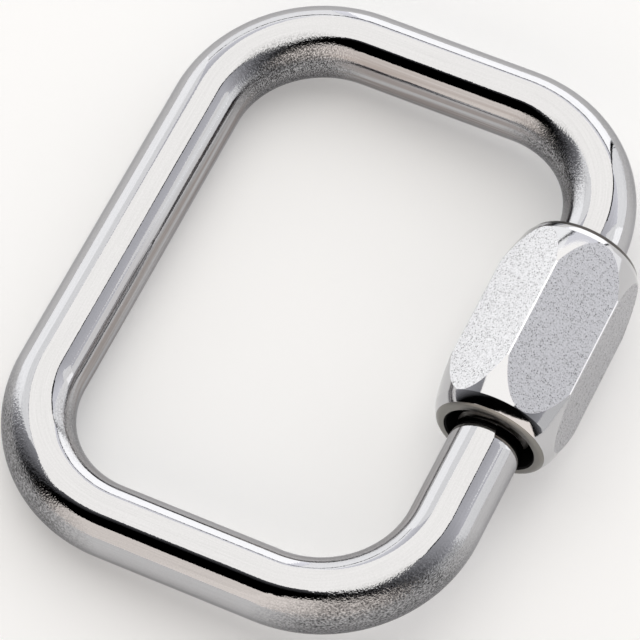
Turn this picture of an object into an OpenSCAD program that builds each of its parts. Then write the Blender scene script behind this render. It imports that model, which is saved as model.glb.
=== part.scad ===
// Rectangular chain quick link: a round steel bar bent into a loop, closed by a hexagon sleeve nut
// that screws across the gate between the bar's two threaded ends.
// Lengths are in millimetres. The link lies on a surface at z = 0, on its plain long bar and on the
// lowest corner of the nut, with the nut's side at +X and the link's length along Y.

/* [Link bar] */
// Diameter of the round bar
bar_d = 8; // [6:0.5:9]
// Distance between the axes of the two long bars
link_w = 46; // [40:1:60]
// Distance between the axes of the two short bars
link_l = 65; // [62:1:90]
// Radius of the bends, to the axis of the bar
bend_r = 13.8; // [10:0.2:16]

/* [Gate] */
// Clear gap between the two bar ends once the nut is run back
gate_gap = 8.3; // [8:0.1:10]
// Length of thread that the closed nut holds on each bar end
grip_l = 2.7; // [2:0.1:4]
// Plain run-out behind each thread
run_out = 0.3; // [0.2:0.1:0.6]
// How far the crests of the thread lie under the surface of the bar
thread_drop = 0.05; // [0.03:0.01:0.1]
// Chamfer on the tip of each bar end
tip_chamfer = 0.6; // [0.3:0.1:1]

/* [Sleeve nut] */
// Width across the flats
nut_af = 13.8; // [13.4:0.2:17]
// Length of the nut
nut_len = 25; // [22:0.5:28]
// Straight bar left between the closed nut and the bend above it
nut_setback = 1.1; // [0.5:0.1:2]
// Distance from the end of the nut to the tips of its flats
flat_setback = 1.5; // [1:0.1:2.5]
// Angle between the turned noses at the ends and the nut's axis, at the tips of the flats
nose_angle = 15; // [12:0.5:20]
// Radius of the slight crown that the noses are turned to
nose_r = 80; // [60:5:150]
// Rounding of the two end rims
rim_r = 0.8; // [0.4:0.1:1]
// Radial gap between the bar and the wide mouth that runs back over it
mouth_gap = 1.05; // [0.6:0.05:1.1]
// Chamfer on the edges of both mouths
mouth_chamfer = 0.3; // [0.2:0.05:0.4]
// Radial play between the bar's thread and the nut's
thread_play = 0.05; // [0.02:0.01:0.1]
// Turn of the lowest corner away from square to the plane of the link, in degrees
nut_turn = 3.5; // [0:0.5:15]

/* [Hidden] */
$fn = 96;

bar_r = bar_d / 2;
thread_r = bar_r - thread_drop;
bore_r = thread_r + thread_play;
mouth_r = bar_r + mouth_gap;

// Half lengths of the straight parts, and where the nut and the two bar ends sit along the gate
straight_y = link_l / 2 - bend_r;
straight_x = link_w - 2 * bend_r;
nut_top = straight_y - nut_setback;
upper_end = nut_top - grip_l;
lower_end = upper_end - gate_gap;

// The nut's thread spans both grips and the gap. The lower bar end has as much, so the nut can run
// right back on it, and the wide mouth below the thread hides that stretch while the nut is closed.
nut_thread_l = 2 * grip_l + gate_gap;
mouth_l = nut_len - nut_thread_l;

// The turned blank of the nut: each nose is an arc that passes the tips of the flats, and it cuts the
// circle of its rim a little inside their tangent, so that a fine line parts nose and rim
corner_r = nut_af / 2 / cos(30);
crown_x = nut_af / 2 - nose_r * cos(nose_angle);
crown_z = flat_setback + nose_r * sin(nose_angle);
rim_cut = 0.97 * rim_r;
rim_turn = asin((crown_z - rim_r) / (nose_r - rim_cut));
rim_x = crown_x + (nose_r - rim_cut) * cos(rim_turn);

// Tilt at which the plain long bar and the nut's lowest corner touch the surface together
rest_a = link_w + corner_r * sin(nut_turn);
rest_b = corner_r * cos(nut_turn);
rest_tilt = atan2(rest_b, rest_a) - asin(bar_r / norm([rest_a, rest_b]));

// Middle of the laid link, between the plain bar's side and the nut's outermost corner
side_x = link_w * cos(rest_tilt) + corner_r * cos(30 - nut_turn - rest_tilt);
mid_x = (side_x - bar_r) / 2;

// Lays the plane of the link on the surface. Inside it the plain bar's axis is the Y axis.
module laid() {
    translate([-mid_x, 0, bar_r])
        rotate([0, -rest_tilt, 0])
            children();
}

// Straight length of bar from a point in the plane of the link
module run(x, y, heading, len) {
    translate([x, y, 0])
        rotate([0, 90, heading])
            cylinder(r = bar_r, h = len);
}

// Quarter bend about a centre, from an angle on
module bend(x, y, from) {
    translate([x, y, 0])
        rotate([0, 0, from])
            rotate_extrude(angle = 90)
                translate([bend_r, 0])
                    circle(r = bar_r);
}

// Bar end in the gate: plain at its root, then the thread's crests, and a chamfered tip
module gate_end(root_y, tip_y, thread_l) {
    len = abs(tip_y - root_y);
    tip_r = thread_r - tip_chamfer;
    translate([link_w, root_y, 0])
        rotate([tip_y > root_y ? -90 : 90, 0, 0])
            rotate_extrude()
                polygon([
                    [0, 0],
                    [bar_r, 0],
                    [bar_r, len - thread_l],
                    [thread_r, len - thread_l],
                    [thread_r, len - tip_chamfer],
                    [tip_r, len],
                    [0, len],
                ]);
}

// The bar: plain long side, four bends, two short sides and the two gate ends
module link_bar() {
    color([0.82, 0.82, 0.84])
        laid() {
            run(0, -straight_y, 90, 2 * straight_y);
            for (side = [-1, 1])
                run(bend_r, side * link_l / 2, 0, straight_x);
            bend(bend_r, -straight_y, 180);
            bend(link_w - bend_r, -straight_y, 270);
            bend(link_w - bend_r, straight_y, 0);
            bend(bend_r, straight_y, 90);
            gate_end(straight_y, upper_end, grip_l + run_out);
            gate_end(-straight_y, lower_end, nut_thread_l + run_out);
        }
}

// Turned blank of the nut, with a long crowned nose and a rounded rim at each end
module nut_blank() {
    foot_z = rim_r - rim_cut * sin(rim_turn);
    rotate_extrude()
        union() {
            square([rim_x, nut_len]);
            intersection() {
                translate([0, foot_z])
                    square([corner_r + rim_r, nut_len - 2 * foot_z]);
                translate([crown_x, crown_z])
                    circle(r = nose_r, $fn = 720);
                translate([crown_x, nut_len - crown_z])
                    circle(r = nose_r, $fn = 720);
            }
            for (z = [rim_r, nut_len - rim_r])
                translate([rim_x, z])
                    circle(r = rim_r);
        }
}

// What is bored out of the nut: the wide mouth, a lead into the thread, and the thread's crests
module nut_bore() {
    over = mouth_chamfer;
    rotate_extrude()
        polygon([
            [0, -over],
            [mouth_r + mouth_chamfer + over, -over],
            [mouth_r, mouth_chamfer],
            [mouth_r, mouth_l - mouth_r + bore_r],
            [bore_r, mouth_l],
            [bore_r, nut_len - mouth_chamfer],
            [bore_r + mouth_chamfer + over, nut_len + over],
            [0, nut_len + over],
        ]);
}

// The nut: hexagon bar turned to a nose at each end, bored through
module sleeve_nut() {
    color([0.74, 0.74, 0.76])
        laid()
            translate([link_w, nut_top - nut_len, 0])
                rotate([-90, 0, 0])
                    difference() {
                        intersection() {
                            rotate([0, 0, 90 - nut_turn])
                                cylinder(r = corner_r, h = nut_len, $fn = 6);
                            nut_blank();
                        }
                        nut_bore();
                    }
}

link_bar();
sleeve_nut();
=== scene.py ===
import bpy
import bmesh
import math
from mathutils import Matrix, Vector


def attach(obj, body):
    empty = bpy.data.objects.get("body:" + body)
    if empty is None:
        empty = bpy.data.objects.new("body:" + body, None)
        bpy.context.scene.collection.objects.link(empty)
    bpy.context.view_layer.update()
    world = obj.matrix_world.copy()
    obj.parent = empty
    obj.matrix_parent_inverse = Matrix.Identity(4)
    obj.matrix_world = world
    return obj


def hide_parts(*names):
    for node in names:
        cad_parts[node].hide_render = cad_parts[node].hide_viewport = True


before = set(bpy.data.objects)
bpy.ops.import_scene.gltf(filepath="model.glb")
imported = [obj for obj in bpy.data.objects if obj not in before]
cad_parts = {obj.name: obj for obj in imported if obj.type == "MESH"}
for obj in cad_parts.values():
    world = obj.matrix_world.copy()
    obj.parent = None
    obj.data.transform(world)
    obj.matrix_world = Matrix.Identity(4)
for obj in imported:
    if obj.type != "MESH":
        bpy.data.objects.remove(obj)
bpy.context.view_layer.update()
mm = 0.001
near = 0.001  # in millimetres, where two places count as one

# Sizes in millimetres and degrees, in the link's own plane: the plain long bar's axis is the Y axis
# there, and the nut's axis lies linkWidth along X
linkSpec = {
    "barRadius": 4.0,
    "linkWidth": 46.0,  # between the axes of the long bars
    "linkLength": 65.0,  # between the axes of the short bars
    "bendRadius": 13.8,  # to the axis of the bar
    "gateGap": 8.3,
    "gripLength": 2.7,  # thread held by the closed nut on each side
    "runOut": 0.3,
    "tipChamfer": 0.6,
    "threadCrest": 3.95,
    "threadDepth": 0.68,
    "threadPitch": 1.25,
    "crestShare": 1 / 8,  # flat part of the crest, of a pitch
    "rootShare": 1 / 4,
    "threadFade": 0.9,  # over which the groove runs out
    "ringVerts": 96,
    "bendSteps": 44,
    "straightSteps": 6,
    "threadStep": 0.11,  # between the rings along the thread
    "sharpAngle": 30.0,  # between faces that meet in a sharp edge
    "easeOut": 3.5,  # how far beyond a bend the bar is still strained
    "easeIn": 7.0,  # how far inside it the strain is full
    # what the polish left of the strain at the two upper and the two lower bends
    "outerGrain": (0.5, 0.5, 1.0, 1.0),
    "innerGrain": (1.0, 1.0, 0.6, 0.6),
}
nutSpec = {
    "acrossFlats": 13.8,
    "length": 25.0,
    "setback": 1.1,  # from the bend above
    "turn": 3.5,  # of the lowest corner away from square to the link
    "cornerBevel": 0.13,
    "bevelSteps": 8,
    "flatSetback": 1.5,  # from the end to the tips of the flats
    "noseAngle": 15.0,  # to the axis, at the tips of the flats
    "noseRadius": 50.0,
    "noseSteps": 16,
    # arcs from the nose to the end face: radius, the lean it ends at, steps
    "rimArcs": ((0.5, 23.5, 4), (7.3, 33.0, 8), (0.8, 90.0, 12)),
    "mouthRadius": 5.05,
    "mouthChamfer": 0.2,
    "boreRadius": 4.0,
    "blankOver": 0.3,  # how far the turned blank stands over the corners
    "hexOver": 1.0,  # the hexagon out of the ends
    "boreOver": 0.4,  # and the bore's cutter too
    "latheSteps": 192,
    "sharpAngle": 9.0,  # between faces that meet in a sharp edge
    # how far a face has to look along the axis to be a ring, the rim painted dark as shade, or a flat end
    "ringFrom": 0.6,
    "rimFrom": 0.49,
    "endFrom": 0.98,
}

straightY = linkSpec["linkLength"] / 2 - linkSpec["bendRadius"]
nutTop = straightY - nutSpec["setback"]
upperEnd = nutTop - linkSpec["gripLength"]
lowerEnd = upperEnd - linkSpec["gateGap"]
nutThread = 2 * linkSpec["gripLength"] + linkSpec["gateGap"]
upperRun = linkSpec["gripLength"] + linkSpec["runOut"]
lowerRun = nutThread + linkSpec["runOut"]

# The link lies on its plain bar and on the nut's lowest corner, which sets its tilt
cornerRadius = nutSpec["acrossFlats"] / 2 / math.cos(math.radians(30))
turn = math.radians(nutSpec["turn"])
restA = linkSpec["linkWidth"] + cornerRadius * math.sin(turn)
restB = cornerRadius * math.cos(turn)
tilt = math.atan2(restB, restA) - math.asin(linkSpec["barRadius"] / math.hypot(restA, restB))
cornerX = cornerRadius * math.cos(math.radians(30) - turn - tilt)
midX = (linkSpec["linkWidth"] * math.cos(tilt) + cornerX - linkSpec["barRadius"]) / 2
laid = (
    Matrix.Translation((-midX * mm, 0, linkSpec["barRadius"] * mm))
    @ Matrix.Rotation(-tilt, 4, "Y")
    @ Matrix.Scale(mm, 4)
)


def startFresh():
    if bpy.context.object and bpy.context.object.mode != "OBJECT":
        bpy.ops.object.mode_set(mode="OBJECT")
    bpy.ops.object.select_all(action="DESELECT")


def pickOnly(obj):
    startFresh()
    obj.select_set(True)
    bpy.context.view_layer.objects.active = obj


def applyAll(obj):
    pickOnly(obj)
    for mod in list(obj.modifiers):
        bpy.ops.object.modifier_apply(modifier=mod.name)


# Merges points closer than this many millimetres and turns the faces outwards
def tidyShell(obj, merge):
    pickOnly(obj)
    bpy.ops.object.mode_set(mode="EDIT")
    bpy.ops.mesh.select_all(action="SELECT")
    bpy.ops.mesh.remove_doubles(threshold=merge)
    bpy.ops.mesh.normals_make_consistent(inside=False)
    bpy.ops.object.mode_set(mode="OBJECT")


def layDown(obj):
    obj.data.transform(laid)
    obj.data.update()


def pull(move, steps):
    for i in range(steps):
        bpy.ops.mesh.extrude_region_move(
            TRANSFORM_OT_translate={"value": tuple(v / steps for v in move)}
        )


# With no window, spin turns the other way: this one goes on counter-clockwise
def quarterBend(x, y):
    bpy.ops.mesh.spin(
        steps=linkSpec["bendSteps"], angle=-math.pi / 2, center=(x, y, 0), axis=(0, 0, 1)
    )


# The bar: one ring of edges drawn from the upper gate end right round to the lower one
def makeBar():
    s = linkSpec
    w, r = s["linkWidth"], s["bendRadius"]
    startFresh()
    bpy.ops.mesh.primitive_circle_add(
        vertices=s["ringVerts"], radius=s["barRadius"], fill_type="NGON",
        location=(0, 0, 0), rotation=(0, 0, 0),
    )
    bar = bpy.context.object
    bar.name = "bent_bar"
    bar.data.transform(Matrix.Translation((w, upperEnd, 0)) @ Matrix.Rotation(math.pi / 2, 4, "X"))
    bpy.ops.object.mode_set(mode="EDIT")
    bpy.ops.mesh.select_mode(type="EDGE")
    bpy.ops.mesh.select_all(action="SELECT")
    pull((0, upperRun, 0), round(upperRun / s["threadStep"]))
    pull((0, straightY - upperEnd - upperRun, 0), 2)
    quarterBend(w - r, straightY)
    pull((-(w - 2 * r), 0, 0), s["straightSteps"])
    quarterBend(r, straightY)
    pull((0, -2 * straightY, 0), s["straightSteps"])
    quarterBend(r, -straightY)
    pull((w - 2 * r, 0, 0), s["straightSteps"])
    quarterBend(w - r, -straightY)
    pull((0, straightY + lowerEnd - lowerRun, 0), s["straightSteps"])
    pull((0, lowerRun, 0), round(lowerRun / s["threadStep"]))
    bpy.ops.object.mode_set(mode="OBJECT")
    return bar


# How far a place along the gate lies behind the tip of its bar end, and how long that end's thread is
def behindTip(y):
    if y > (upperEnd + lowerEnd) / 2:
        return y - upperEnd, upperRun
    return lowerEnd - y, lowerRun


# Cuts the right-hand threads into the gate ends, turns the chamfers on their tips, and sets their faces
# apart for the duller steel
def cutThreads(obj):
    s = linkSpec
    crestHalf, rootHalf = s["crestShare"] / 2, s["rootShare"] / 2
    for v in obj.data.vertices:
        dx, y, dz = v.co.x - s["linkWidth"], v.co.y, v.co.z
        behind, run = behindTip(y)
        if abs(dx) > s["barRadius"] + near or behind > run - near:
            continue
        phase = (y / s["threadPitch"] - math.atan2(dx, dz) / math.tau) % 1.0
        offCrest = min(phase, 1 - phase)
        groove = min(1, max(0, (offCrest - crestHalf) / (0.5 - rootHalf - crestHalf)))
        fade = min(1, max(0, (run - behind) / s["threadFade"]))
        want = s["threadCrest"] - s["threadDepth"] * groove * fade
        want = min(want, s["threadCrest"] - s["tipChamfer"] + max(0, behind))
        grow = want / math.hypot(dx, dz)
        v.co.x = s["linkWidth"] + dx * grow
        v.co.z = dz * grow
    obj.data.update()
    for p in obj.data.polygons:
        behind, run = behindTip(p.center.y)
        if abs(p.center.x - s["linkWidth"]) < s["barRadius"] and behind < run - s["runOut"]:
            p.material_index = 1


# Where a point lay before the bar was bent: how far out from the loop, and how far along from the upper
# tip. starts holds where each bend starts and ends.
def unbent(x, y, starts):
    w, r = linkSpec["linkWidth"], linkSpec["bendRadius"]
    if abs(y) > straightY and abs(x - w / 2) > w / 2 - r:
        centres = [(w - r, straightY), (r, straightY), (r, -straightY), (w - r, -straightY)]
        k = min(range(4), key=lambda i: math.hypot(centres[i][0] - x, centres[i][1] - y))
        dx, dy = x - centres[k][0], y - centres[k][1]
        turned = (math.atan2(dy, dx) - k * math.pi / 2 + math.pi) % math.tau - math.pi
        return math.hypot(dx, dy) - r, starts[2 * k] + r * turned
    if abs(y) > straightY:
        return abs(y) - linkSpec["linkLength"] / 2, starts[1] + w - r - x if y > 0 else starts[5] + x - r
    if x < w / 2:
        return -x, starts[3] + straightY - y
    return x - w, y - upperEnd if y > (upperEnd + lowerEnd) / 2 else starts[7] + y + straightY


# Notes on each point where it lay on the straight bar (outwards, up, along, in millimetres) and how far
# the bend stretched it, so that the drawn grain follows the bar
def noteGrain(obj):
    s = linkSpec
    quarter = s["bendRadius"] * math.pi / 2
    shortBar, longBar = s["linkWidth"] - 2 * s["bendRadius"], 2 * straightY
    starts = [straightY - upperEnd]
    for length in (quarter, shortBar, quarter, longBar, quarter, shortBar, quarter):
        starts.append(starts[-1] + length)
    places, stretches = [], []
    for v in obj.data.vertices:
        out, along = unbent(v.co.x, v.co.y, starts)
        places += [out, v.co.z, along]
        inBend, k = max((min(along - starts[2 * i], starts[2 * i + 1] - along), i) for i in range(4))
        ease = min(1, max(0, (inBend + s["easeOut"]) / (s["easeOut"] + s["easeIn"])))
        left = s["outerGrain" if out > 0 else "innerGrain"][k]
        stretches.append(out / s["bendRadius"] * ease * left)
    place = obj.data.attributes.new("barPlace", "FLOAT_VECTOR", "POINT")
    place.data.foreach_set("vector", places)
    stretch = obj.data.attributes.new("bendStretch", "FLOAT", "POINT")
    stretch.data.foreach_set("value", stretches)


bar = makeBar()
print("bar drawn", len(bar.data.vertices), "points")
tidyShell(bar, near / 2)
cutThreads(bar)
noteGrain(bar)
pickOnly(bar)
bpy.ops.object.shade_smooth_by_angle(angle=math.radians(linkSpec["sharpAngle"]))
layDown(bar)
print("bar threaded", len(bar.data.polygons), "faces")


# A closed turned shape about the nut's axis: a point drawn along the half outline of (radius, place)
# points, and then spun
def turnedShape(name, outline):
    startFresh()
    bpy.ops.mesh.primitive_plane_add(size=1, location=(0, 0, 0))
    obj = bpy.context.object
    obj.name = name
    bpy.ops.object.mode_set(mode="EDIT")
    bpy.ops.mesh.select_mode(type="VERT")
    bpy.ops.mesh.select_all(action="SELECT")
    bpy.ops.mesh.merge(type="CENTER")
    bpy.ops.transform.translate(value=(outline[0][0], 0, outline[0][1]))
    for (r, z), (nextR, nextZ) in zip(outline, outline[1:]):
        pull((nextR - r, 0, nextZ - z), 1)
    bpy.ops.mesh.select_all(action="SELECT")
    bpy.ops.mesh.spin(steps=nutSpec["latheSteps"], angle=math.tau, center=(0, 0, 0), axis=(0, 0, 1))
    tidyShell(obj, near)
    return obj


def arcPoints(cx, cz, radius, start, end, count):
    turns = [start + (end - start) * i / count for i in range(count + 1)]
    return [(cx + radius * math.cos(a), cz + radius * math.sin(a)) for a in turns]


# Half outline of one end, from the end face out to beyond the hexagon's corners
def noseOutline():
    n = nutSpec
    lean = math.radians(n["noseAngle"])
    crownX = n["acrossFlats"] / 2 - n["noseRadius"] * math.cos(lean)
    crownZ = n["flatSetback"] + n["noseRadius"] * math.sin(lean)
    for i in range(20):  # finds where on the nose the arcs have to start so that they end at the face
        rise, before = 0.0, lean
        for radius, upTo, steps in n["rimArcs"]:
            rise += radius * (math.sin(math.radians(upTo)) - math.sin(before))
            before = math.radians(upTo)
        lean = math.asin((crownZ - rise) / n["noseRadius"])
    topTurn = math.acos((cornerRadius + n["blankOver"] - crownX) / n["noseRadius"])
    outline = arcPoints(crownX, crownZ, n["noseRadius"], -topTurn, -lean, n["noseSteps"])
    for radius, upTo, steps in n["rimArcs"]:
        x, z = outline[-1]
        x, z = x - radius * math.cos(lean), z + radius * math.sin(lean)
        outline += arcPoints(x, z, radius, -lean, -math.radians(upTo), steps)[1:]
        lean = math.radians(upTo)
    outline[-1] = (outline[-1][0], 0.0)
    return outline[::-1]


# The nut: a bevelled hexagon, turned to the blank's noses and bored through
def makeNut():
    n = nutSpec
    length, chamfer, over = n["length"], n["mouthChamfer"], n["boreOver"]
    low = noseOutline()
    high = [(r, length - z) for r, z in reversed(low)]
    blank = turnedShape("nutBlank", [(0, 0)] + low + high + [(0, length)])
    mouthLength = length - nutThread
    lead = n["mouthRadius"] - n["boreRadius"]
    bore = turnedShape("nutBore", [
        (0, -over),
        (n["mouthRadius"] + chamfer + over, -over),
        (n["mouthRadius"], chamfer),
        (n["mouthRadius"], mouthLength - lead),
        (n["boreRadius"], mouthLength),
        (n["boreRadius"], length - chamfer),
        (n["boreRadius"] + chamfer + over, length + over),
        (0, length + over),
    ])
    startFresh()
    bpy.ops.mesh.primitive_cylinder_add(
        vertices=6, radius=cornerRadius, depth=length + 2 * n["hexOver"], location=(0, 0, 0)
    )
    nut = bpy.context.object
    nut.name = "hex_sleeve"
    nut.data.transform(
        Matrix.Translation((0, 0, length / 2)) @ Matrix.Rotation(math.radians(60) - turn, 4, "Z")
    )
    bpy.ops.object.mode_set(mode="EDIT")
    bpy.ops.mesh.select_mode(type="EDGE")
    bpy.ops.mesh.select_all(action="DESELECT")
    bm = bmesh.from_edit_mesh(nut.data)
    for e in bm.edges:  # the six long corners
        e.select = abs((e.verts[0].co - e.verts[1].co).z) > length / 2
    bmesh.update_edit_mesh(nut.data)
    bpy.ops.mesh.bevel(offset=n["cornerBevel"], segments=n["bevelSteps"], affect="EDGES")
    bpy.ops.object.mode_set(mode="OBJECT")
    for cutter, how in ((blank, "INTERSECT"), (bore, "DIFFERENCE")):
        mod = nut.modifiers.new(how.lower(), "BOOLEAN")
        mod.operation, mod.object, mod.solver = how, cutter, "EXACT"
    applyAll(nut)
    for cutter in (blank, bore):
        bpy.data.objects.remove(cutter, do_unlink=True)
    tidyShell(nut, 2 * near)  # the cuts leave fine slivers
    return nut


# Sorts the nut's faces by how they were made: 0 the hexagon's flats, 1 the turned noses, 2 the bored
# inside, 3 the faced rings at the ends, 4 the corners, 5 the rim at the end without the mouth
def sortNutFaces(obj):
    n = nutSpec
    close = 0.02  # millimetres or radians
    inside = n["mouthRadius"] + n["mouthChamfer"] + close
    firstFlat = math.radians(90 + 30) - turn
    for p in obj.data.polygons:
        c, d = p.center, p.normal
        offFlat = (math.atan2(d.y, d.x) - firstFlat + math.pi / 6) % (math.pi / 3) - math.pi / 6
        if math.hypot(c.x, c.y) < inside and abs(d.z) < n["endFrom"]:
            p.material_index = 2
        elif d.z < -n["ringFrom"] or d.z > n["rimFrom"]:
            p.material_index = 5 if 0 < d.z < n["endFrom"] else 3
        elif abs(d.z) > close / 2:
            p.material_index = 1
        else:
            p.material_index = 0 if abs(offFlat) < close else 4


nut = makeNut()
print("nut turned", len(nut.data.polygons), "faces")
sortNutFaces(nut)
pickOnly(nut)
bpy.ops.object.shade_smooth_by_angle(angle=math.radians(nutSpec["sharpAngle"]))
soften = nut.modifiers.new("soften", "WEIGHTED_NORMAL")
soften.keep_sharp = True
applyAll(nut)
nut.data.transform(
    Matrix.Translation((linkSpec["linkWidth"], nutTop - nutSpec["length"], 0))
    @ Matrix.Rotation(-math.pi / 2, 4, "X")
)
layDown(nut)
print("nut placed")


def linear(hexColor):
    parts = [int(hexColor[i:i + 2], 16) / 255 for i in (1, 3, 5)]
    return tuple(c / 12.92 if c <= 0.04045 else ((c + 0.055) / 1.055) ** 2.4 for c in parts) + (1.0,)


# Adds one node: sockets by name or number, each a value or another node's output. Gives back one of its
# outputs, or all of them.
def addNode(tree, kind, sockets=None, give=0, **settings):
    made = tree.nodes.new(kind)
    for key, value in settings.items():
        setattr(made, key, value)
    for key, value in (sockets or {}).items():
        if isinstance(value, bpy.types.NodeSocket):
            tree.links.new(value, made.inputs[key])
        else:
            made.inputs[key].default_value = value
    return made.outputs if give == "all" else made.outputs[give]


def newMaterial(name):
    mat = bpy.data.materials.new(name)
    mat.use_nodes = True
    mat.node_tree.nodes.clear()
    return mat, mat.node_tree


def finishMaterial(tree, sockets):
    shader = addNode(tree, "ShaderNodeBsdfPrincipled", sockets)
    addNode(tree, "ShaderNodeOutputMaterial", {"Surface": shader}, give="all")


edgeSteel = "#D2D2D4"  # tint of reflections seen at a flat angle, on the bar and on the flats
barFinish = {
    "steel": "#B9B9BB",
    "scaleAndShade": "#928985",  # brownish scale left from drawing the bar, and darker too as painted shade of the loop's inside
    "lineWidth": 0.14,  # mm, drawn coarser than the real lines so that they show
    "ridgeWidth": 0.56,  # mm
    "drawnOut": 0.02,  # how fast lines and ridges change along the bar, against across it
    "grainSize": 0.2,  # mm, drawn coarser than the real grain so that it shows
    # how far a bend stretches or presses the steel, as a share, where the grain starts and where it is full
    "pulledFrom": 0.08,
    "pulledFull": 0.22,
    "pressedFrom": -0.07,
    "pressedFull": -0.23,
    "pressedMost": 0.75,  # of the grain that stretching gives
    # relief in millimetres: what full strain adds, the polish alone, the drawn lines and the ridges
    "grainHeight": 0.06,
    "polishHeight": 0.002,
    "lineHeight": 0.0009,
    "ridgeHeight": 0.0035,
    "roughness": 0.03,
    "strainRoughness": 0.15,
    # tone of the polished steel, what the lines add to it, and the painted shade that strain and pressing
    # add on the bends
    "tone": 0.94,
    "lineTone": 0.12,
    "strainPaintedShade": -0.5,
    "pressedPaintedShade": -0.22,
    "toneRange": (0.1, 1.3),
    # light and shade of the grain
    "contrast": 0.12,
    "strainContrast": 1.9,
    "pressedContrast": 1.9,
    # where on the inside of the loop the brownish scale and its painted shade start and are full, mm from
    # the bar's axis
    "scaleAndShadeFrom": -2.2,
    "scaleAndShadeFull": -3.6,
    "scaleAndShadeMost": 0.75,
    "scaleAndShadeStreaks": (0.42, 0.62),  # of the ridges' noise
    "scaleAndShadeFlaking": -1.3,  # as pressing breaks it off
    "thread": "#7A7876",
    "threadShade": "#2B2826",
    "smearSize": 1.2,  # mm
    "threadRoughness": 0.6,
    "smearRoughness": -0.3,  # where the bare thread shows
}


# Polished bar: drawn steel gives fine lines along the bar, and the polish leaves a slight orange peel,
# coarser where the bends have strained it. The bends are also darkened in tone as painted shade. The inside
# of the loop gets darker brownish streaks, partly scale left from drawing and partly painted shade.
def barSteel():
    f = barFinish
    mat, t = newMaterial("polished_drawn_steel")
    place = addNode(t, "ShaderNodeAttribute", give="Vector", attribute_name="barPlace")
    stretch = addNode(t, "ShaderNodeAttribute", give="Fac", attribute_name="bendStretch")
    pulled = addNode(t, "ShaderNodeMapRange", {
        "Value": stretch, "From Min": f["pulledFrom"], "From Max": f["pulledFull"],
    })
    pressed = addNode(t, "ShaderNodeMapRange", {
        "Value": stretch, "From Min": f["pressedFrom"], "From Max": f["pressedFull"],
        "To Max": f["pressedMost"],
    })
    strain = addNode(t, "ShaderNodeMath", {0: pulled, 1: pressed}, operation="ADD")
    alongBar = addNode(t, "ShaderNodeVectorMath", {
        0: place, 1: (1, 1, f["drawnOut"]),
    }, operation="MULTIPLY")
    lines, ridges, grain = (
        addNode(t, "ShaderNodeTexNoise", {
            "Vector": where, "Scale": 1 / size, "Detail": detail, "Roughness": rough,
        })
        for where, size, detail, rough in (
            (alongBar, f["lineWidth"], 1.0, 0.5),
            (alongBar, f["ridgeWidth"], 1.0, 0.5),
            (place, f["grainSize"], 1.5, 0.6),
        )
    )
    deep = addNode(t, "ShaderNodeMath", {
        0: strain, 1: f["grainHeight"], 2: f["polishHeight"],
    }, operation="MULTIPLY_ADD")
    height = addNode(t, "ShaderNodeMath", {0: grain, 1: deep}, operation="MULTIPLY")
    for marks, high in ((lines, f["lineHeight"]), (ridges, f["ridgeHeight"])):
        height = addNode(t, "ShaderNodeMath", {0: marks, 1: high, 2: height}, operation="MULTIPLY_ADD")
    bump = addNode(t, "ShaderNodeBump", {"Strength": 1.0, "Distance": mm, "Height": height})
    rough = addNode(t, "ShaderNodeMath", {
        0: strain, 1: f["strainRoughness"], 2: f["roughness"],
    }, operation="MULTIPLY_ADD")
    # The grain is finer than a picture shows, so its light and shade are drawn as tone too
    contrast = f["contrast"]
    for how, more in ((strain, f["strainContrast"]), (pressed, f["pressedContrast"])):
        contrast = addNode(t, "ShaderNodeMath", {0: how, 1: more, 2: contrast}, operation="MULTIPLY_ADD")
    tone = addNode(t, "ShaderNodeMath", {0: grain, 1: 0.5}, operation="SUBTRACT")
    tone = addNode(t, "ShaderNodeMath", {0: tone, 1: contrast, 2: f["tone"]}, operation="MULTIPLY_ADD")
    # Strain and pressing darken the bends as painted shade, most on their inside, where they reflect the
    # shaded loop
    for how, more in ((lines, f["lineTone"]), (strain, f["strainPaintedShade"]), (pressed, f["pressedPaintedShade"])):
        tone = addNode(t, "ShaderNodeMath", {0: how, 1: more, 2: tone}, operation="MULTIPLY_ADD")
    darkest, lightest = f["toneRange"]
    tone = addNode(t, "ShaderNodeClamp", {"Value": tone, "Min": darkest, "Max": lightest})
    color = addNode(t, "ShaderNodeVectorMath", {
        0: linear(f["steel"])[:3], "Scale": tone,
    }, operation="SCALE")
    # Painted shade: the inside faces of the loop turn darker and brownish, partly drawing scale and partly
    # the loop's shade
    outwards = addNode(t, "ShaderNodeSeparateXYZ", {0: place}, give="X")
    scaleAndShade = addNode(t, "ShaderNodeMapRange", {
        "Value": outwards, "From Min": f["scaleAndShadeFrom"], "From Max": f["scaleAndShadeFull"], "To Max": f["scaleAndShadeMost"],
    })
    streakFrom, streakFull = f["scaleAndShadeStreaks"]
    streaks = addNode(t, "ShaderNodeMapRange", {
        "Value": ridges, "From Min": streakFrom, "From Max": streakFull,
    })
    unflaked = addNode(t, "ShaderNodeMath", {
        0: pressed, 1: f["scaleAndShadeFlaking"], 2: 1.0,
    }, operation="MULTIPLY_ADD")
    for share in (streaks, unflaked):
        scaleAndShade = addNode(t, "ShaderNodeMath", {0: scaleAndShade, 1: share}, operation="MULTIPLY")
    color = addNode(t, "ShaderNodeMix", {
        "Factor": scaleAndShade, "A": color, "B": linear(f["scaleAndShade"]),
    }, give="Result", data_type="RGBA")
    finishMaterial(t, {
        "Base Color": color, "Metallic": 1.0, "Roughness": rough, "Normal": bump,
        "Specular Tint": linear(edgeSteel),
    })
    return mat


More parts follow.
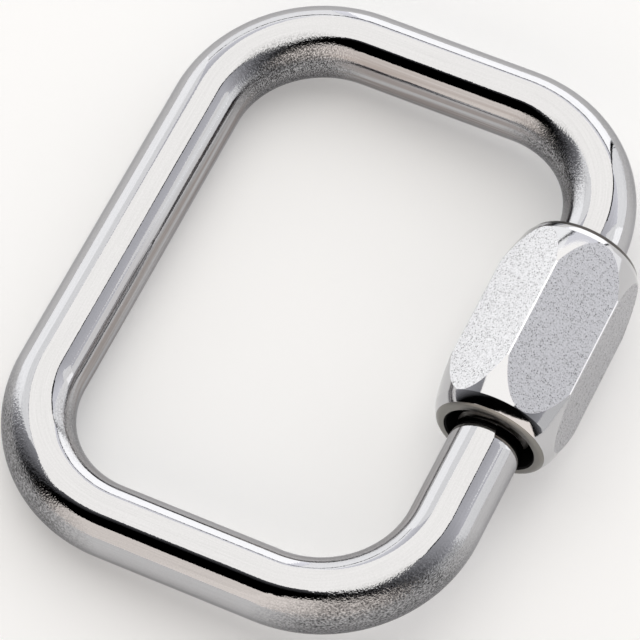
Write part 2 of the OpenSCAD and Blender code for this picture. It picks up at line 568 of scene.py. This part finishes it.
# Cut thread: never polished and dull, painted dark grey with darker smeared patches as painted shade of the
# mouth it sits in
def threadSteel():
    f = barFinish
    mat, t = newMaterial("thread_steel_painted_shade")
    place = addNode(t, "ShaderNodeAttribute", give="Vector", attribute_name="barPlace")
    smear = addNode(t, "ShaderNodeTexNoise", {
        "Vector": place, "Scale": 1 / f["smearSize"], "Detail": 3.0, "Roughness": 0.6,
    })
    # Painted shade: the thread's dark grey stands for the shade inside the nut's mouth
    color = addNode(t, "ShaderNodeMix", {
        "Factor": smear, "A": linear(f["threadShade"]), "B": linear(f["thread"]),
    }, give="Result", data_type="RGBA")
    rough = addNode(t, "ShaderNodeMath", {
        0: smear, 1: f["smearRoughness"], 2: f["threadRoughness"],
    }, operation="MULTIPLY_ADD")
    finishMaterial(t, {"Base Color": color, "Metallic": 1.0, "Roughness": rough})
    return mat


nutFinish = {
    # colour and roughness of each finish
    "flats": ("#DDDDDF", 0.28),
    "noses": ("#C0C0C2", 0.07),
    "rings": ("#85837F", 0.3),
    # the corners are lighter than the flats as a painted highlight along the edges; their lower roughness
    # is the rubbing
    "corners": ("#E8E8EA", 0.2),
    # the rim's dark colour is painted shade, standing for the shaded contact with the bar that it reflects
    "rim": ("#45413E", 0.3),
    # the bore's near black is painted shade
    "bore": ("#0C0B0B", 0.7),
    "pits": "#343437",
    "pitGap": 0.18,  # mm, drawn coarser than the real pits so that they show
    "pitRagged": 0.16,  # mm by which the mottle moves their outlines
    "pitCore": 0.14,  # how far from its middle a pit is full, in gaps, and where it ends
    "pitEnd": 0.55,
    "pitSpread": 1.4,  # more makes the deep ones fewer
    "pitDepth": -0.008,  # mm
    "mottle": 1.1,  # patches to each pit gap
    "mottleRange": (0.35, 0.65),
    "mottleDark": 0.22,
    "mottleHeight": 0.004,  # mm
    "grainSize": 0.2,  # mm, of the slight peel on turned steel, drawn coarser too
    "grainHeight": 0.0022,  # mm
}


# Tumbled flats: satin, with small dark pits that the tumbling stones leave
def flatSteel():
    f = nutFinish
    shade, roughness = f["flats"]
    mat, t = newMaterial("satin_tumbled_steel")
    here = addNode(t, "ShaderNodeTexCoord", give="Object")
    inMm = addNode(t, "ShaderNodeVectorMath", {0: here, "Scale": 1 / mm}, operation="SCALE")
    mottle = addNode(t, "ShaderNodeTexNoise", {
        "Vector": inMm, "Scale": f["mottle"] / f["pitGap"], "Detail": 2.0, "Roughness": 0.7,
    })
    ragged = addNode(t, "ShaderNodeMath", {0: mottle, 1: f["pitRagged"]}, operation="MULTIPLY")
    ragged = addNode(t, "ShaderNodeVectorMath", {0: inMm, 1: ragged}, operation="ADD")
    cells = addNode(t, "ShaderNodeTexVoronoi", {"Vector": ragged, "Scale": 1 / f["pitGap"]}, give="all")
    pits = addNode(t, "ShaderNodeMapRange", {
        "Value": cells["Distance"], "From Min": f["pitCore"], "From Max": f["pitEnd"],
        "To Min": 1.0, "To Max": 0.0,
    })
    deep = addNode(t, "ShaderNodeSeparateColor", {0: cells["Color"]})
    deep = addNode(t, "ShaderNodeMath", {0: deep, 1: f["pitSpread"]}, operation="POWER")
    pits = addNode(t, "ShaderNodeMath", {0: pits, 1: deep}, operation="MULTIPLY")
    mottleFrom, mottleFull = f["mottleRange"]
    patches = addNode(t, "ShaderNodeMapRange", {
        "Value": mottle, "From Min": mottleFrom, "From Max": mottleFull,
        "To Min": f["mottleDark"], "To Max": 0.0,
    })
    dark = addNode(t, "ShaderNodeMath", {0: pits, 1: patches}, operation="ADD", use_clamp=True)
    color = addNode(t, "ShaderNodeMix", {
        "Factor": dark, "A": linear(shade), "B": linear(f["pits"]),
    }, give="Result", data_type="RGBA")
    height = addNode(t, "ShaderNodeMath", {0: pits, 1: f["pitDepth"]}, operation="MULTIPLY")
    height = addNode(t, "ShaderNodeMath", {
        0: mottle, 1: f["mottleHeight"], 2: height,
    }, operation="MULTIPLY_ADD")
    bump = addNode(t, "ShaderNodeBump", {"Strength": 1.0, "Distance": mm, "Height": height})
    finishMaterial(t, {
        "Base Color": color, "Metallic": 1.0, "Roughness": roughness, "Normal": bump,
        "Specular Tint": linear(edgeSteel),
    })
    return mat


# Turned: polished bright on the noses, left dull as the tool faced it on the end rings, painted dark on the
# one rim as shade, and rubbed along the corners, whose lighter colour is partly a painted highlight
def turnedSteel(name, finish):
    shade, roughness = nutFinish[finish]
    mat, t = newMaterial(name)
    here = addNode(t, "ShaderNodeTexCoord", give="Object")
    inMm = addNode(t, "ShaderNodeVectorMath", {0: here, "Scale": 1 / mm}, operation="SCALE")
    peel = addNode(t, "ShaderNodeTexNoise", {
        "Vector": inMm, "Scale": 1 / nutFinish["grainSize"], "Detail": 2.0, "Roughness": 0.55,
    })
    height = addNode(t, "ShaderNodeMath", {0: peel, 1: nutFinish["grainHeight"]}, operation="MULTIPLY")
    bump = addNode(t, "ShaderNodeBump", {"Strength": 1.0, "Distance": mm, "Height": height})
    finishMaterial(t, {
        "Base Color": linear(shade), "Metallic": 1.0, "Roughness": roughness, "Normal": bump,
    })
    return mat


# Bored and never polished: painted near black, with almost no reflection, as painted shade of the bore's
# dark inside
def paintedShadeBoreSteel():
    shade, roughness = nutFinish["bore"]
    mat, t = newMaterial("bore_steel_painted_shade")
    finishMaterial(t, {"Base Color": linear(shade), "Roughness": roughness, "Specular IOR Level": 0.1})
    return mat


for made in (barSteel(), threadSteel()):
    bar.data.materials.append(made)
for made in (
    flatSteel(),
    turnedSteel("polished_turned_steel", "noses"),
    paintedShadeBoreSteel(),
    turnedSteel("dull_faced_steel", "rings"),
    turnedSteel("rubbed_corner_steel_painted_highlight", "corners"),
    turnedSteel("rim_steel_painted_shade", "rim"),
):
    nut.data.materials.append(made)
for piece, body, node, finish in (
    (bar, "link", "link_bar", "polished_steel"),
    (nut, "nut", "sleeve_nut", "satin_steel"),
):
    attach(piece, body)
    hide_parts(node)
print("steel finished")

# The studio, in metres: a pale floor, one wide softbox overhead, panels all round, and dark strips
# between them
studioSpec = {
    "level": 0.97,  # of all lamps and the surroundings
    "floor": "#E6E6E6",
    "floorSize": 8.0,
    "floorGlow": 0.18,  # towards the camera and reflections, so that the floor looks nearly white
    "world": "#F9F9FF",
    "worldLevel": 0.44,
    "worldRise": 1.2,  # towards the back
    "worldMost": 1.3,
    "horizonLevel": 1.3,
    "worldFall": -0.6,  # from the horizon up
    "card": "#0A0A0A",
    "cardGap": 0.004,  # between a lamp and its back
}
# name: centre, width, height, facing, glow, tint
panels = {
    "softbox": ((-0.235, 0.615, 1.0), 1.23, 1.77, (0, 0, -1), 1.75, "#FFFDF9"),
    "backRight": ((1.23, 1.6, 0.55), 1.54, 1.1, (0, -1, 0), 1.45, "#FFFFFF"),
    "backCorner": ((2.375, 1.6, 0.55), 0.75, 1.1, (0, -1, 0), 1.85, "#FFFFFF"),
    "backCornerTop": ((2.25, 1.6, 1.6), 1.0, 1.0, (0, -1, 0), 1.35, "#FFFFFF"),
    "rightFront": ((2.75, 0.1, 0.5), 1.4, 1.0, (-1, 0, 0), 0.85, "#FFFFFF"),
    "right": ((2.75, 1.2, 0.45), 0.8, 0.9, (-1, 0, 0), 1.25, "#FFFFFF"),
    "rightTop": ((2.75, 1.2, 1.25), 0.8, 0.7, (-1, 0, 0), 1.3, "#FFFFFF"),
    "backMiddle": ((-0.125, 1.6, 0.4), 1.05, 0.8, (0, -1, 0), 2.05, "#FFFFFF"),
    "backLeft": ((-1.475, 1.6, 0.55), 1.45, 1.1, (0, -1, 0), 1.6, "#FFFFFF"),
    "left": ((-1.9, 0.8, 0.55), 1.2, 1.1, (1, 0, 0), 1.7, "#FFFFFF"),
    "leftTop": ((-1.9, 0.8, 1.65), 1.2, 1.1, (1, 0, 0), 1.35, "#FFFFFF"),
    "front": ((0.975, -0.9, 0.57), 1.91, 1.14, (0, 1, 0), 1.42, "#FFF6EE"),
    "frontStepHigh": ((-0.05, -0.9, 0.51), 0.14, 1.02, (0, 1, 0), 1.38, "#FFF6EE"),
    "frontStepLow": ((-0.185, -0.9, 0.445), 0.13, 0.89, (0, 1, 0), 1.32, "#FFF6EE"),
    "frontLeft": ((-0.6, -0.9, 0.385), 0.7, 0.77, (0, 1, 0), 1.22, "#FFF6EE"),
}
# name: centre, width, height and facing of each dark strip
strips = {
    "softboxEdge": ((0.4, 0.615, 0.99), 0.04, 1.77, (0, 0, -1)),
    "softboxCorner": ((0.445, 1.02, 0.985), 0.05, 0.6, (0, 0, -1)),
    "backGap": ((0.43, 1.59, 0.75), 0.06, 1.5, (0, -1, 0)),
    "backTop": ((-0.87, 1.58, 0.82), 2.66, 0.07, (0, -1, 0)),
}


# How a card or lamp that faces down at first is set up to face another way
def setUp(centre, facing):
    if abs(facing[2]) > 0.5:
        return Matrix.Translation(centre)
    return Matrix.Translation(centre) @ Vector(facing).to_track_quat("-Z", "Y").to_matrix().to_4x4()


def addCard(name, centre, width, height, facing):
    startFresh()
    bpy.ops.mesh.primitive_plane_add(size=1, location=(0, 0, 0))
    card = bpy.context.object
    card.name = name
    card.data.transform(setUp(centre, facing) @ Matrix.Diagonal((width, height, 1, 1)))
    card.data.materials.append(cardPaint)
    card.visible_camera = False


# A lamp lets light through from behind, so each has a black back
def addPanel(name, centre, width, height, facing, glow, tint):
    lamp = bpy.data.lights.new(name, "AREA")
    lamp.shape, lamp.size, lamp.size_y = "RECTANGLE", width, height
    lamp.energy = math.pi * width * height * glow * studioSpec["level"]  # watts that give this brightness
    lamp.color = linear(tint)[:3]
    obj = bpy.data.objects.new(name, lamp)
    obj.matrix_world = setUp(centre, facing)
    bpy.context.collection.objects.link(obj)
    addCard(name + "Back", Vector(centre) - Vector(facing) * studioSpec["cardGap"], width, height, facing)


cardPaint, t = newMaterial("black_card")
finishMaterial(t, {"Base Color": linear(studioSpec["card"]), "Roughness": 1.0, "Specular IOR Level": 0.0})
for name, values in panels.items():
    addPanel(name, *values)
for name, values in strips.items():
    addCard(name, *values)

world = bpy.data.worlds.new("studio")
bpy.context.scene.world = world
world.use_nodes = True
sky = world.node_tree
sky.nodes.clear()
towards = addNode(sky, "ShaderNodeTexCoord", give="Generated")
ways = addNode(sky, "ShaderNodeSeparateXYZ", {0: towards}, give="all")
glow = addNode(sky, "ShaderNodeMath", {
    0: ways["Y"], 1: studioSpec["worldRise"], 2: studioSpec["worldLevel"],
}, operation="MULTIPLY_ADD")
glow = addNode(sky, "ShaderNodeClamp", {"Value": glow, "Min": 0.0, "Max": studioSpec["worldMost"]})
falloff = addNode(sky, "ShaderNodeMath", {
    0: ways["Z"], 1: studioSpec["worldFall"], 2: studioSpec["horizonLevel"],
}, operation="MULTIPLY_ADD")
for share in (falloff, studioSpec["level"]):
    glow = addNode(sky, "ShaderNodeMath", {0: glow, 1: share}, operation="MULTIPLY")
glow = addNode(sky, "ShaderNodeBackground", {"Color": linear(studioSpec["world"]), "Strength": glow})
addNode(sky, "ShaderNodeOutputWorld", {"Surface": glow}, give="all")

startFresh()
bpy.ops.mesh.primitive_plane_add(size=studioSpec["floorSize"], location=(0, 0, 0))
floor = bpy.context.object
floor.name = "floor"
floorPaint, t = newMaterial("pale_floor")
ray = addNode(t, "ShaderNodeLightPath", give="all")
seen = addNode(t, "ShaderNodeMath", {0: ray["Is Camera Ray"], 1: ray["Is Glossy Ray"]}, operation="ADD")
seen = addNode(t, "ShaderNodeMath", {
    0: seen, 1: ray["Is Transmission Ray"],
}, operation="ADD", use_clamp=True)
seen = addNode(t, "ShaderNodeMath", {0: seen, 1: studioSpec["floorGlow"]}, operation="MULTIPLY")
finishMaterial(t, {
    "Base Color": linear(studioSpec["floor"]), "Roughness": 0.9, "Specular IOR Level": 0.0,
    "Emission Color": linear("#FFFFFF"), "Emission Strength": seen,
})
floor.data.materials.append(floorPaint)

cameraSpec = {
    "place": (89.02895, -222.97642, 443.20088),  # mm
    "turn": (28.643885, -1.823990, 25.515169),  # degrees
    "lens": 261.3535,
    "sensor": 36,
}
camera = bpy.data.cameras.new("photoCamera")
camera.lens, camera.sensor_width = cameraSpec["lens"], cameraSpec["sensor"]
camera.clip_start, camera.clip_end = 0.01, 20
eye = bpy.data.objects.new("photoCamera", camera)
eye.location = [v * mm for v in cameraSpec["place"]]
eye.rotation_euler = [math.radians(v) for v in cameraSpec["turn"]]
bpy.context.collection.objects.link(eye)
bpy.context.scene.camera = eye
bpy.context.scene.view_settings.view_transform = "Standard"
print("studio lit")
